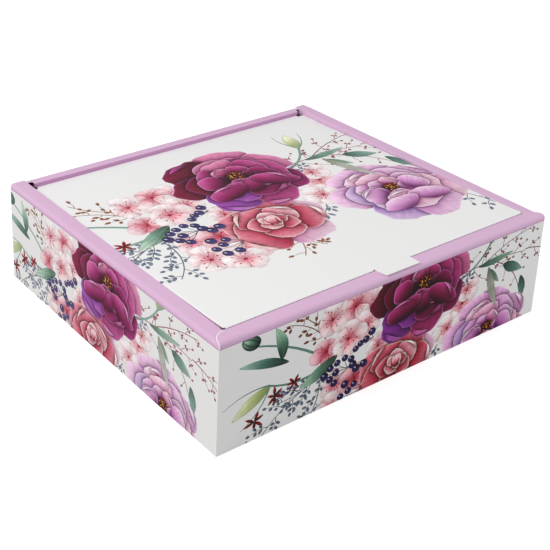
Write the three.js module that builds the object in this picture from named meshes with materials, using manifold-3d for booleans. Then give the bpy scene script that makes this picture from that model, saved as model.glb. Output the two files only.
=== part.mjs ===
// A low, nearly square folding flower box of printed paperboard, closed.
//
// Four outer walls stand on a base. Their tops roll inward into flat rims, and the front and side rims
// turn down again into inner walls with glued feet, so those three sides are hollow frames. The back rim
// turns down into a short riser, and the lid hangs from the riser's lower crease. The lid lies between
// the rims on three tuck flaps and a thumb tab that rests on the front rim.
//
// Millimetres. +X runs right along the front, +Y to the back, +Z up; the origin is the middle of the
// underside. Every panel between two creases is a separate solid.

import * as THREE from 'three';
import { mergeVertices } from 'three/addons/utils/BufferGeometryUtils.js';
import Module from 'manifold-3d';

const wasm = await Module();
wasm.setup();

// The box.
const width = 300;
const depth = 265;
const height = 82; // up to the top of the front rim
const board = 0.5; // thickness of the paperboard
const slip = 0.1; // clearance between boards that lie on each other

// The rims. Front rim on top, side rims one board lower, back rim two boards lower.
const frontRim = 11;
const sideRim = 12;
const backRim = 9;
const fold = 3; // outer radius of the rolled edge
const rimFoot = 4.8; // how far the roll reaches down the outer wall, from the front rim's top
const rimStep = board + slip;
const backNotchDepth = 4; // relief cuts where the back rim goes under the side rims
const frontRimCurve = 12; // how far the front rim's rounded ends are drawn in
const sideRimCorner = 1;
const arcSteps = 8;

// Inner walls, their feet and the glue tabs.
const innerWallEnd = 4.5; // from the end of a side's inner wall to the outer wall
const footWidth = 16;
const footGap = 1;
const tabReach = 28;
const tabTaper = 4;
const tabTop = 6; // below the front rim's top

// The lid.
const lidDrop = 5; // from the front rim's top down to the lid at its hinge
const lidGap = 0.7; // round the lid
const lidCorner = 1.5;
const lidNotchWidth = 6; // relief cuts at the two hinge corners
const lidNotchDepth = 3;
const creaseGap = 0.3; // between two panels that turn about one crease
const riserEnd = 4.5; // from the riser's end to the side rim
const flapDepth = 18;
const flapTuck = 4; // degrees that the front flap leans inward
const sideFlapTuck = 2;
const sideFlapStart = 16; // from the hinge to a side flap
const thumbRoot = 32.5;
const thumbTip = 31;
const thumbLength = 11;
const thumbCorner = 0.6;
const thumbOffset = 4.5; // right of the middle
const thumbRest = 0.05; // over the front rim
const thumbGap = 0.4; // at the tab's crease and round its cut-out

// Faces that several panels share.
const outerX = width / 2;
const outerY = depth / 2;
const innerX = outerX - sideRim;
const innerFrontY = -outerY + frontRim;
const innerBackY = outerY - backRim;
const rimBottom = height - rimFoot;
const sideTop = height - rimStep;
const backTop = height - 2 * rimStep;

const materials = {
  printed: { color: 0xf2f1ef, roughness: 0.55, metalness: 0 },
  rim: { color: 0xd6b4d0, roughness: 0.5, metalness: 0 },
  plain: { color: 0xf6f4ef, roughness: 0.8, metalness: 0 },
};

const axisX = new THREE.Vector3(1, 0, 0);
const axisY = new THREE.Vector3(0, 1, 0);
const axisZ = new THREE.Vector3(0, 0, 1);
const planes = {
  flat: new THREE.Matrix4().makeBasis(axisX, axisY, axisZ), // outline in x, y; thickness up
  side: new THREE.Matrix4().makeBasis(axisY, axisZ, axisX), // outline in y, z; thickness to +X
  front: new THREE.Matrix4().makeBasis(axisX, axisZ, axisY.clone().negate()), // outline in x, z; to -Y
};

// Extrudes an outline of one of the three planes between two positions on the axis across it.
function slab(plane, points, from, to) {
  const shape = new THREE.Shape(points.map(([a, b]) => new THREE.Vector2(a, b)));
  const geometry = new THREE.ExtrudeGeometry(shape, { depth: to - from, bevelEnabled: false });
  geometry.translate(0, 0, plane === 'front' ? -to : from);
  return geometry.applyMatrix4(planes[plane]);
}

function rectangle(left, low, right, high) {
  return [[left, low], [right, low], [right, high], [left, high]];
}

// Points of a round stretch about a centre, between two angles in degrees.
function arc(centreA, centreB, radiusA, radiusB, start, end) {
  const points = [];
  for (let i = 0; i <= arcSteps; i += 1) {
    const angle = THREE.MathUtils.degToRad(start + ((end - start) * i) / arcSteps);
    points.push([centreA + radiusA * Math.cos(angle), centreB + radiusB * Math.sin(angle)]);
  }
  return points;
}

function solid(geometry) {
  const bare = geometry.clone();
  bare.deleteAttribute('normal');
  bare.deleteAttribute('uv');
  const merged = mergeVertices(bare);
  return new wasm.Manifold(new wasm.Mesh({
    numProp: 3,
    vertProperties: new Float32Array(merged.attributes.position.array),
    triVerts: new Uint32Array(merged.index.array),
  }));
}

function geometryOf(manifold) {
  const mesh = manifold.getMesh();
  const geometry = new THREE.BufferGeometry();
  geometry.setAttribute('position', new THREE.BufferAttribute(mesh.vertProperties, 3));
  geometry.setIndex(new THREE.BufferAttribute(mesh.triVerts, 1));
  geometry.computeVertexNormals();
  return geometry;
}

function common(first, ...others) {
  return geometryOf(others.reduce((kept, next) => kept.intersect(solid(next)), solid(first)));
}

const box = new THREE.Group();

function add(group, name, look, geometry) {
  const mesh = new THREE.Mesh(geometry, new THREE.MeshStandardMaterial(materials[look]));
  mesh.name = name;
  group.add(mesh);
  return mesh;
}

// Section of a rolled rim. u runs inward from the outer wall's face and v up from the rim's top.
function rimSection(rimWidth, skirt) {
  const outside = arc(fold, -fold, fold, fold, 90, 180);
  const inside = arc(fold, -fold, fold - board, fold - board, 180, 90);
  return [[rimWidth, 0], ...outside, [0, -skirt], [board, -skirt], ...inside, [rimWidth, -board]];
}

// The room under a rolled rim, where the end of the next rim lies.
function underRim() {
  const clear = fold - board - slip;
  const far = width + depth;
  return [[rimStep, -far], ...arc(fold, -fold, clear, clear, 180, 90), [far, -rimStep], [far, -far]];
}

function outerWalls() {
  const base = rectangle(board - outerX, board - outerY, outerX - board, outerY - board);
  add(box, 'base', 'plain', slab('flat', base, 0, board));
  const across = rectangle(-outerX, 0, outerX, rimBottom);
  add(box, 'front_wall', 'printed', slab('front', across, -outerY, board - outerY));
  add(box, 'back_wall', 'printed', slab('front', across, outerY - board, outerY));
  const along = rectangle(board - outerY, 0, outerY - board, rimBottom);
  add(box, 'left_wall', 'printed', slab('side', along, -outerX, board - outerX));
  add(box, 'right_wall', 'printed', slab('side', along, outerX - board, outerX));
}

// The front rim lies over the side rims, and its ends are rounded off towards the corners.
function frontRimPanel() {
  const section = rimSection(frontRim, rimFoot).map(([u, v]) => [u - outerY, height + v]);
  const curve = (side) => {
    const end = arc(outerX - frontRimCurve, -outerY, frontRimCurve, frontRim, 0, 90);
    return end.map(([x, y]) => [side * x, y]);
  };
  const plan = [...curve(1), ...curve(-1).reverse()];
  const geometry = common(slab('side', section, -outerX, outerX), slab('flat', plan, 0, height + 1));
  add(box, 'front_rim', 'rim', geometry);
}

// A side rim starts under the front rim and covers the end of the back rim.
function sideRimPanel(side, name) {
  const section = rimSection(sideRim, rimFoot - rimStep);
  const placed = section.map(([u, v]) => [side * (outerX - u), sideTop + v]);
  const room = underRim().map(([u, v]) => [u - outerY, height + v]);
  const corner = arc(outerX - sideRimCorner, outerY - sideRimCorner, sideRimCorner, sideRimCorner, 0, 90);
  const plan = [[0, -outerY], [outerX, -outerY], ...corner, [0, outerY]].map(([x, y]) => [side * x, y]);
  add(box, name, 'rim', common(
    slab('front', placed, -outerY, outerY),
    slab('side', room, -outerX, outerX),
    slab('flat', plan, 0, height + 1),
  ));
}

// The back rim runs under both side rims. Relief cuts free it beside the riser.
function backRimPanel() {
  const section = rimSection(backRim, rimFoot - 2 * rimStep);
  const placed = section.map(([u, v]) => [outerY - u, backTop + v]);
  const room = (side) => underRim().map(([u, v]) => [side * (outerX - u), sideTop + v]);
  const riserX = innerX - riserEnd;
  const notchY = innerBackY + backNotchDepth;
  const half = [[riserX, innerBackY], [riserX, notchY], [outerX, notchY], [outerX, outerY]];
  const plan = [...half, ...half.map(([x, y]) => [-x, y]).reverse()];
  add(box, 'back_rim', 'rim', common(
    slab('side', placed, -outerX, outerX),
    slab('front', room(1), -outerY, outerY),
    slab('front', room(-1), -outerY, outerY),
    slab('flat', plan, 0, height + 1),
  ));
}

// The inner walls hang from the rims' inner edges down to the base. At the back, those of the sides are
// cut lower to pass under the back rim.
function innerWalls() {
  const across = rectangle(slip + board - innerX, board, innerX - board - slip, height - board);
  add(box, 'front_inner_wall', 'rim', slab('front', across, innerFrontY - board, innerFrontY));
  const front = innerWallEnd - outerY;
  const back = outerY - innerWallEnd;
  const stepY = innerBackY + backNotchDepth - slip;
  const stepZ = backTop - board - slip;
  const outline = [
    [front, board], [back, board], [back, stepZ], [stepY, stepZ],
    [stepY, sideTop - board], [front, sideTop - board],
  ];
  add(box, 'left_inner_wall', 'rim', slab('side', outline, -innerX, board - innerX));
  add(box, 'right_inner_wall', 'rim', slab('side', outline, innerX - board, innerX));
}

// Feet turned inward from the inner walls and glued to the base, mitred where they meet.
function feet() {
  const footX = innerX - board - footGap;
  const tipX = footX - footWidth;
  const tipY = innerFrontY + footWidth;
  const front = [[-footX, innerFrontY], [footX, innerFrontY], [tipX, tipY], [-tipX, tipY]];
  add(box, 'front_foot', 'rim', slab('flat', front, board, 2 * board));
  const start = innerFrontY + 2 * footGap;
  const end = innerBackY - footGap;
  for (const [side, name] of [[-1, 'left_foot'], [1, 'right_foot']]) {
    const edge = innerX - board;
    const plan = [
      [edge, start], [edge, end], [edge - footWidth, end - footWidth], [edge - footWidth, start + footWidth],
    ];
    add(box, name, 'rim', slab('flat', plan.map(([x, y]) => [side * x, y]), board, 2 * board));
  }
}

// Glue tabs on the ends of the side walls, inside the front and back walls.
function glueTabs() {
  const top = height - tabTop;
  const near = outerX - board;
  const far = near - tabReach;
  const outline = [[near, board], [far, board + tabTaper], [far, top - tabTaper], [near, top]];
  for (const [side, sideName] of [[-1, 'left'], [1, 'right']]) {
    const placed = outline.map(([x, z]) => [side * x, z]);
    const inside = outerY - board;
    add(box, `front_${sideName}_glue_tab`, 'plain', slab('front', placed, -inside, board - inside));
    add(box, `back_${sideName}_glue_tab`, 'plain', slab('front', placed, inside - board, inside));
  }
}

// The riser drops from the back rim's inner edge. Its two long edges are the lid's hinges.
function riser() {
  const x = innerX - riserEnd;
  const outline = rectangle(-x, height - lidDrop, x, backTop - board - creaseGap);
  add(box, 'hinge_riser', 'rim', slab('front', outline, innerBackY, innerBackY + board));
}

// The lid's own frame: origin on its hinge, -Y along the lid to the front, its upper face at zero height.
const lidHalf = innerX - lidGap;
const lidRun = innerBackY - innerFrontY - lidGap;
const lidRise = lidDrop + thumbRest + board;
const lidSlope = Math.atan2(lidRise, lidRun);
const lidLength = Math.hypot(lidRun, lidRise);
const lid = new THREE.Group();
lid.position.set(0, innerBackY, height - lidDrop);
lid.rotation.x = -lidSlope;
box.add(lid);

function lidPanel() {
  const corner = arc(lidHalf - lidCorner, lidCorner - lidLength, lidCorner, lidCorner, 0, -90);
  const half = [
    [lidHalf - lidNotchWidth, -slip],
    [lidHalf - lidNotchWidth, -lidNotchDepth],
    [lidHalf, -lidNotchDepth],
    ...corner,
  ];
  const plan = [...half, ...half.map(([x, y]) => [-x, y]).reverse()];
  add(lid, 'lid_panel', 'printed', slab('flat', plan, -board, 0));
}

function thumbTab() {
  const root = -lidLength - thumbGap;
  const tip = -lidLength - thumbLength;
  const cornerX = thumbTip / 2 - thumbCorner;
  const corner = arc(cornerX, tip + thumbCorner, thumbCorner, thumbCorner, 0, -90);
  const half = [[thumbRoot / 2, root], ...corner];
  const plan = [...half, ...half.map(([x, y]) => [-x, y]).reverse()];
  add(lid, 'thumb_tab', 'printed', slab('flat', plan, -board, 0)).position.x = thumbOffset;
}

// A flap hangs from a crease just under the lid, and leans inward a little so that it tucks in easily.
function creaseFrame(x, y) {
  const frame = new THREE.Group();
  frame.position.set(x, y, -board - creaseGap);
  lid.add(frame);
  return frame;
}

function frontFlap() {
  const frame = creaseFrame(0, board / 2 - lidLength);
  frame.rotation.x = THREE.MathUtils.degToRad(flapTuck);
  const top = lidHalf - lidCorner;
  const bottom = top - flapDepth;
  const cut = thumbRoot / 2 + thumbGap;
  const outline = [
    [-top, 0], [-bottom, -flapDepth], [bottom, -flapDepth], [top, 0],
    [thumbOffset + cut, 0], [thumbOffset + cut, -thumbLength],
    [thumbOffset - cut, -thumbLength], [thumbOffset - cut, 0],
  ];
  add(frame, 'lid_front_flap', 'rim', slab('front', outline, -board / 2, board / 2));
}

function sideFlap(side, name) {
  const frame = creaseFrame(side * (lidHalf - board / 2), 0);
  frame.rotation.y = side * THREE.MathUtils.degToRad(sideFlapTuck);
  const front = 2 * lidCorner - lidLength;
  const outline = [
    [front, 0], [front + flapDepth, -flapDepth], [-sideFlapStart - flapDepth, -flapDepth], [-sideFlapStart, 0],
  ];
  add(frame, name, 'rim', slab('side', outline, -board / 2, board / 2));
}

outerWalls();
frontRimPanel();
sideRimPanel(-1, 'left_rim');
sideRimPanel(1, 'right_rim');
backRimPanel();
innerWalls();
feet();
glueTabs();
riser();
lidPanel();
thumbTab();
frontFlap();
sideFlap(-1, 'lid_left_flap');
sideFlap(1, 'lid_right_flap');

export default box;
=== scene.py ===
"""A folding flower box of printed paperboard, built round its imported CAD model.

Every visible board is one developable sheet. Its flat outline, the painted pattern on it and a lattice of
inner points are triangulated together, so each petal's outline is an edge of the mesh and its colours are
corner attributes. The sheet is then folded over its creases and given the board's thickness.
"""

import math
import random

import bpy
import numpy as np
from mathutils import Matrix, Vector
from mathutils.geometry import delaunay_2d_cdt


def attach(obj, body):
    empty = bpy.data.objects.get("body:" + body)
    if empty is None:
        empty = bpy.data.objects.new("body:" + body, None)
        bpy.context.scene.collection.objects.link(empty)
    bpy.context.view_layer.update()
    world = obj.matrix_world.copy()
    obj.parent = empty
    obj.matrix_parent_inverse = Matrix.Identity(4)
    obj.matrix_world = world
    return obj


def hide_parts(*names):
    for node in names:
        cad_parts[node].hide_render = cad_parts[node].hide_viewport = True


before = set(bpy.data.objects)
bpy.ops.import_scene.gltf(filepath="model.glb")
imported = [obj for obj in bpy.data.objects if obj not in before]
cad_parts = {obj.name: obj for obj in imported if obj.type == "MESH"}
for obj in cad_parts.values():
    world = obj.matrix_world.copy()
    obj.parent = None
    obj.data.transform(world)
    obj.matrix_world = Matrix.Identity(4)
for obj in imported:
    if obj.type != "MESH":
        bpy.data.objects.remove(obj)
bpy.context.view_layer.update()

MM = 0.001


# ---------------------------------------------------------------- colours

def srgb(red, green, blue):
    """Linear colour of a screen colour given as 0 to 255."""
    value = np.array([red, green, blue]) / 255
    return np.where(value <= 0.04045, value / 12.92, ((value + 0.055) / 1.055) ** 2.4)


class Paint:
    """The colours of one painted shape from its base to its tip, with its rim, shadow and streaks."""

    def __init__(self, deep, body, tip, rim, rim_strength=0.6, streaks=0.5, tip_start=0.4, shadow=0.92):
        self.deep, self.body, self.tip, self.rim = deep, body, tip, rim
        self.rim_strength = rim_strength
        self.streaks = streaks
        self.tip_start = tip_start
        self.shadow = shadow

    def toned(self, factor):
        """The same paint, lighter or darker."""
        colours = [np.clip(colour * factor, 0, 1) for colour in (self.deep, self.body, self.tip, self.rim)]
        return Paint(*colours, self.rim_strength, self.streaks, self.tip_start, self.shadow)


def tint(codes, *qualities):
    """A paint from colour codes: base, body, tip and, where it isn't the tip's, the rim."""
    deep, body, tip, *rim = (srgb(*bytes.fromhex(code[1:])) for code in codes.split())
    return Paint(deep, body, tip, rim[0] if rim else tip, *qualities)


PAPER = srgb(243, 243, 243)
LILAC_PRINT = srgb(222, 184, 216)
LILAC_EDGE = srgb(196, 138, 184)
# Near-white, for a strip along the front rim's curved left end.
WHITE_END_STRIP = srgb(254, 252, 254)
MAGENTA = tint('#400220 #921a5c #c85296 #e89cce', 0.85)
MAGENTA_PINK = tint('#660c38 #ba4680 #e28cb6 #f4c4dc', 0.8)
MAGENTA_DEEP = tint('#260112 #620836 #9c246a #d878b8', 0.85)
WINE = tint('#1a010a #4c061c #7a1638 #b44a92', 0.85)
VIOLET = tint('#3e0842 #7e2686 #ac56b8 #ce8ad2', 0.6)
LILAC = tint('#6c1c62 #d48eca #f0cae8 #fcecf8', 0.85, 0.6)
LILAC_PINK = tint('#8c265e #e59ac8 #f7d2e4 #fdf0f7', 0.85, 0.6)
LILAC_BLUE = tint('#4e2270 #a676c0 #d6b6e0 #f0e4f6', 0.8, 0.6)
ROSE = tint('#62021a #c7395a #f096a8 #fff0e9', 1.0, 0.7, 0.4, 1.0)
ROSE_PALE = tint('#981634 #ea89a0 #fbd6dc #fff6f2', 1.0, 0.7, 0.4, 1.0)
ROSE_LILAC = tint('#96386e #e29ec4 #f4d4e6 #fdf0f6', 0.9)
BLOSSOM = tint('#ee8ea0 #f9d4d9 #fef4f4 #eca2b0', 0.6, 0.8, 0.2, 0.55)
BLOSSOM_PALE = tint('#f3acb8 #fceaeb #fffaf9 #eca6b4', 0.6, 0.7, 0.2, 0.55)
BLOSSOM_ROSY = tint('#d65c76 #f2b2be #fce0e4 #e08096', 0.6, 0.8, 0.3, 0.65)
CORAL = tint('#701024 #9e2234 #ba3e4a #82142a', 0.3, 0)
BERRY = tint('#1e1432 #3a3064 #585090 #1a122a', 0.7, 0.1)
BERRY_SHINE = tint('#9696c8 #bebee2 #d6d6ee', 0, 0)
LEAF = tint('#3e5a4c #789e8a #b8d2be #38524a', 0.5, 0.9)
LEAF_TEAL = tint('#344c44 #648c80 #a8c6b8 #304a46', 0.55, 0.9)
LEAF_PALE = tint('#7c8274 #b4b6aa #d8d8ce #78766c', 0.4, 0.6)
LIME = tint('#9eb274 #d2daa8 #eceed0 #6a8a76', 0.9, 0.6)
SLATE = tint('#525c70 #7c8a9e #a2aebe #4a5266', 0.5, 0.3)
WINE_BUD = tint('#742630 #a44a50 #c27070 #68202a', 0.5, 0.2)
BROWN_BUD = tint('#683826 #a06044 #c88c6a #603426', 0.5, 0.2)
STAR_RED = tint('#560a16 #961a24 #b83638 #540c18', 0.4, 0.3)
HEART = tint('#24040e #3a0a14 #54141c', 0, 0.3)
GOLD = tint('#c87a1a #e8a632 #f4c25a', 0, 0)
EMBER = tint('#782410 #b04a1e #ce682c', 0, 0)
STEM_DARK = tint('#4c4c5a #5c5c6a #70707c', 0, 0.1)
STEM_WINE = tint('#681e28 #883a3e #a65c5a', 0, 0.1)
STEM_BROWN = tint('#7a4e36 #966648 #b08260', 0, 0.1)
STEM_GREEN = tint('#5a7c74 #7ea092 #a4c0b0 #52726a', 0.3, 0.3)


# ---------------------------------------------------------------- painted shapes

def unit(degrees):
    return np.array([math.cos(math.radians(degrees)), math.sin(math.radians(degrees))])


def heading(vector):
    return math.degrees(math.atan2(vector[1], vector[0]))


def stack(*columns):
    return np.stack(columns, 1)


class Blob:
    """An egg-shaped patch of paint. It lies along its turn, and may bend, narrow to its base and ruffle."""

    def __init__(self, centre, turn, length, width, paint, group, rng,
                 taper=0.0, point=0.0, bend=0.0, ruffle=0.0, waves=4, steps=18):
        self.centre, self.axis = np.array(centre, float), unit(turn)
        self.length, self.width, self.bend = length, width, bend
        self.paint, self.group, self.seed = paint, group, rng.random()
        a = np.linspace(0, 2 * math.pi, steps, endpoint=False)
        front = 0.5 + 0.5 * np.cos(a)
        wave = np.sin(waves * a + 6 * self.seed) + 0.6 * np.sin((2 * waves + 1) * a + 40 * self.seed)
        wave = 1 + ruffle * front * wave
        along = 0.5 * length * np.cos(a) * wave
        across = 0.5 * width * np.sin(a) * wave * (1 + taper * np.cos(a)) * (1 - point * np.cos(a) ** 2)
        around = np.arctan2(across, along)
        order = np.argsort(around)
        self.around, self.radii = around[order], np.hypot(along, across)[order]
        self.outline = self.place(along, across)
        self.low, self.high = self.outline.min(0), self.outline.max(0)

    def place(self, x, y):
        y = y + self.bend * x ** 2 / self.length
        cos, sin = self.axis
        return self.centre + stack(cos * x - sin * y, sin * x + cos * y)

    def coordinates(self, points):
        """Millimetres along and across from the middle of a patch, and the depth inside its edge."""
        cos, sin = self.axis
        d = points - self.centre
        x, y = cos * d[:, 0] + sin * d[:, 1], cos * d[:, 1] - sin * d[:, 0]
        y = y - self.bend * x ** 2 / self.length
        edge = np.interp(np.arctan2(y, x), self.around, self.radii, period=2 * math.pi)
        return x, y, edge - np.hypot(x, y)


class Stroke:
    """A brush line of changing width along a chain of points."""

    group, seed = -1, 0.3

    def __init__(self, points, start_width, end_width, paint):
        chain = np.array(points, float)
        step = np.gradient(chain, axis=0)
        normal = stack(-step[:, 1], step[:, 0]) / np.maximum(np.hypot(*step.T), 1e-9)[:, None]
        half = np.linspace(start_width, end_width, len(chain))[:, None] / 2
        self.paint, self.length = paint, 0.0
        self.outline = np.concatenate([chain + normal * half, (chain - normal * half)[::-1]])
        self.low, self.high = self.outline.min(0), self.outline.max(0)


def inside(outline, points):
    """Which points lie inside a closed outline."""
    found = np.zeros(len(points), bool)
    x, y = points.T
    for (ax, ay), (bx, by) in zip(outline, np.roll(outline, -1, axis=0)):
        crosses = (ay > y) != (by > y)
        if crosses.any():
            found[crosses] ^= x[crosses] < ax + (bx - ax) * (y[crosses] - ay) / (by - ay)
    return found


def smooth(low, high, value):
    t = np.clip((value - low) / (high - low), 0, 1)
    return t * t * (3 - 2 * t)


PAINTED_LIGHT = unit(125)  # the flowers are painted as if lit from the upper left
GOLDEN_TURN = 137.5  # degrees between one petal of a spiral and the next
LIGHT_SWING = 0.16  # how far that light changes a patch's tone from its middle to its edge
OTHER_FLOWER = 1.5  # a patch shades another flower as if it were this many millimetres further away
FAR = 40.0  # a distance that has no effect any more, millimetres
LAYERS = ('ink', 'rim_ink', 'shadow_ink', 'brush')  # the colour attributes of a printed face


def ink(patch, above, points):
    """What the print material needs at some points of a patch, as three colours and four measures.

    The colours are the patch's own with the strength of its streaks, its rim's with the rim's strength, and
    its shadow's with the shadow's strength. The measures are the depth inside the edge, the distance from
    the patches above that shade it, a coordinate that fans out from the base, and the patch's seed.
    """
    paint, count = patch.paint, len(points)
    if isinstance(patch, Stroke):
        x = y = side = np.zeros(count)
        u, depth = np.full(count, 0.5), np.full(count, FAR)
    else:
        x, y, depth = patch.coordinates(points)
        u = x / patch.length + 0.5
        side = np.clip((points - patch.centre) @ PAINTED_LIGHT / (0.5 * patch.width), -1, 1)
    base = smooth(0.0, 0.55, u)[:, None]
    tip = smooth(paint.tip_start, 1.0, u)[:, None]
    colour = paint.deep * (1 - base) + paint.body * base
    colour = (colour * (1 - tip) + paint.tip * tip) * (1 + LIGHT_SWING * side[:, None])
    shaded = np.full(count, FAR)
    for other in above:
        lift = 0.0 if other.group == patch.group else OTHER_FLOWER
        shaded = np.minimum(shaded, np.maximum(-other.coordinates(points)[2], 0) + lift)
    fan = np.arctan2(y, x + 0.62 * patch.length + 0.01)

    def with_strength(tone, strength):
        return np.concatenate([np.clip(np.broadcast_to(tone, (count, 3)), 0, 1), strength[:, None]], 1)

    return (
        with_strength(colour, np.full(count, paint.streaks)),
        with_strength(paint.rim, paint.rim_strength * smooth(0.2, 0.75, u)),
        with_strength(paint.deep * 0.7, np.full(count, paint.shadow)),
        stack(np.maximum(depth, 0), shaded, fan, np.full(count, patch.seed)),
    )


# ---------------------------------------------------------------- flowers

class Painter:
    """Lays shapes from the back to the front, in millimetres."""

    def __init__(self, seed):
        self.rng = random.Random(seed)
        self.patches = []
        self.group = 0

    def jitter(self, amount):
        return self.rng.uniform(-amount, amount)

    def blob(self, centre, turn, length, width, paint, **shape):
        patch = Blob(centre, turn, length, width, paint, self.group, self.rng, **shape)
        self.patches.append(patch)
        return patch

    def stroke(self, points, start_width, end_width, paint):
        self.patches.append(Stroke(points, start_width, end_width, paint))

    def petal(self, centre, turn, length, width, paint, **shape):
        """A petal, often with a paler curl along a part of its tip."""
        shape = {'taper': 0.28, 'ruffle': 0.07, 'waves': self.rng.choice([2, 3, 4]), 'steps': 26,
                 'point': self.rng.uniform(-0.1, 0.3), 'bend': self.jitter(0.22), **shape}
        patch = self.blob(centre, turn, length, width, paint, **shape)
        if self.rng.random() < 0.4 and length > 12:
            lean = self.rng.choice([-26, 26]) + self.jitter(12)
            spot = centre + unit(turn + lean) * 0.43 * length
            curl = Paint(paint.body, (paint.tip + paint.rim) / 2, paint.rim, paint.rim, 0.6, 0.4)
            self.blob(spot, turn + lean * 0.8 + 90, 0.6 * width, 0.1 * length, curl, taper=self.jitter(0.3),
                      point=0.35, bend=0.5, steps=16)
        return patch

    def ring(self, centre, count, reach, length, width, paint_for, start=0.0, squash=0.9, keep=None, **shape):
        """A ring of petals: the upper ones are laid first and the lower ones over them."""
        turns = [start + 360 * i / count + self.jitter(10) for i in range(count)]
        for turn in sorted(turns, key=lambda t: -math.sin(math.radians(t))):
            if keep and not keep(math.sin(math.radians(turn))):
                continue
            way = unit(turn) * [1, squash]
            shrink = math.hypot(*way)
            self.petal(centre + way * reach, heading(way) + self.jitter(12),
                       length * shrink * (1 + self.jitter(0.14)), width * (1 + self.jitter(0.14)),
                       paint_for(turn), **shape)

    def cup(self, centre, count, drop, length, width, paint_for, span):
        """Petals in front of the heart, seen from outside, with their tips up."""
        leans = [(2 * i / (count - 1) - 1) * span + self.jitter(16) for i in range(count)]
        for lean in sorted(leans, key=lambda value: -abs(value)):
            down = unit(lean - 90) * [1.1, 1]
            self.petal(centre + down * drop, 90 - lean * 0.7 + self.jitter(8), length,
                       width * (1 + self.jitter(0.1)), paint_for(lean - 90), taper=0.2)

    def stamens(self, centre, radius, count=40):
        self.blob(centre, 0, 2 * radius, 1.7 * radius, HEART, steps=14)
        for _ in range(count):
            reach = radius * math.sqrt(self.rng.random()) * 0.95
            spot = centre + unit(self.rng.uniform(0, 360)) * reach * [1, 0.85]
            middle = reach < radius * 0.5
            paint = self.rng.choice([GOLD, GOLD, EMBER] if middle else [EMBER, HEART, GOLD, EMBER])
            self.blob(spot, self.rng.uniform(0, 180), radius * 0.24, radius * 0.15, paint, steps=6)

    def peony(self, x, y, radius, outer, inner, seed):
        """A full flower seen from a little below: rings of petals behind the heart and cups before it."""
        centre, r = np.array([x, y], float), radius
        self.rng.seed(seed)
        self.group += 1
        self.ring(centre - [0, 0.12 * r], 7, 0.68 * r, 0.92 * r, 0.86 * r, outer, 22, 0.95)
        self.ring(centre - [0, 0.08 * r], 6, 0.5 * r, 0.8 * r, 0.72 * r, outer, 50)
        self.ring(centre, 5, 0.36 * r, 0.62 * r, 0.6 * r, inner, 20)
        self.ring(centre, 5, 0.23 * r, 0.36 * r, 0.36 * r, inner, 45, keep=lambda height: height > -0.2)
        self.stamens(centre, 0.17 * r)
        self.cup(centre, 3, 0.27 * r, 0.3 * r, 0.36 * r, inner, 62)
        self.cup(centre, 3, 0.42 * r, 0.46 * r, 0.54 * r, inner, 70)
        self.cup(centre, 2, 0.6 * r, 0.42 * r, 0.8 * r, inner, 30)

    def rose(self, x, y, radius, paint, pale, outer, seed):
        """A half-open rose: broad pointed petals on a spiral that tightens towards the heart."""
        centre, r = np.array([x, y], float), radius
        heart = np.array([-0.06, 0.14])  # from the rose's middle, in radii
        self.rng.seed(seed)
        self.group += 1
        for level in range(21):
            size = 0.87 ** max(0, level - 4)
            way = unit(GOLDEN_TURN * level + 20) * [1.08, 0.84]
            shade = outer if level in (0, 2) else self.rng.choice([paint, paint, pale])
            spot = centre + way * 0.6 * r * size + heart * r * (1 - size)
            self.petal(spot, heading(way) + self.jitter(16), 1.08 * r * size,
                       (1.24 + self.jitter(0.2)) * r * size, shade,
                       point=self.rng.uniform(0.5, 0.8), ruffle=0.05, taper=0.1)
        for lean in (34, -30, 6):
            self.petal(centre + heart * r - unit(90 - lean) * 0.03 * r, 90 - lean, 0.34 * r, 0.15 * r, pale,
                       point=0.4, ruffle=0.02)

    def blossom(self, x, y, radius, turn, paint, tilt=None):
        """A five-petalled blossom, foreshortened across its tilt."""
        centre, r = np.array([x, y], float), radius
        tilt = self.rng.uniform(0, 360) if tilt is None else tilt
        self.group += 1
        for i in range(5):
            angle = turn + 72 * i + self.jitter(10)
            near = 1 - 0.3 * max(0.0, math.cos(math.radians(angle - tilt)))
            tone = paint if self.rng.random() < 0.55 else BLOSSOM_PALE
            self.blob(centre + unit(angle) * 0.55 * r * near, angle, 0.98 * r * near, 0.94 * r, tone,
                      taper=0.3, ruffle=0.07, waves=3, steps=20)
        self.blob(centre, turn, 0.2 * r, 0.16 * r, CORAL, steps=8)
        for i in range(11):
            angle = turn + 33 * i + self.jitter(12)
            tip = centre + unit(angle) * r * self.rng.uniform(0.28, 0.6)
            self.stroke([centre, (centre + tip) / 2 + unit(angle + 90) * 0.04 * r, tip], 0.42, 0.26, CORAL)
            self.blob(tip, angle, 0.1 * r, 0.07 * r, STAR_RED, steps=6)

    def leaf(self, start, end, width, paint, bend=0.0):
        start, end = np.array(start, float), np.array(end, float)
        length = math.hypot(*(end - start))
        self.group += 1
        patch = self.blob((start + end) / 2, heading(end - start), length, width, paint,
                          taper=-0.2, point=0.45, bend=bend, steps=24)
        rib = patch.place(np.linspace(-0.5, 0.42, 7) * length, np.zeros(7))
        self.stroke(rib, 0.7, 0.15, paint.toned(0.75))

    def stem(self, start, end, bend, start_width, end_width, paint, points=9):
        """A curved stem. Returns its chain of points."""
        start, end = np.array(start, float), np.array(end, float)
        run = end - start
        t = np.linspace(0, 1, points)[:, None]
        chain = start + run * t + np.array([-run[1], run[0]]) * bend * 4 * t * (1 - t)
        self.stroke(chain, start_width, end_width, paint)
        return chain

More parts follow.
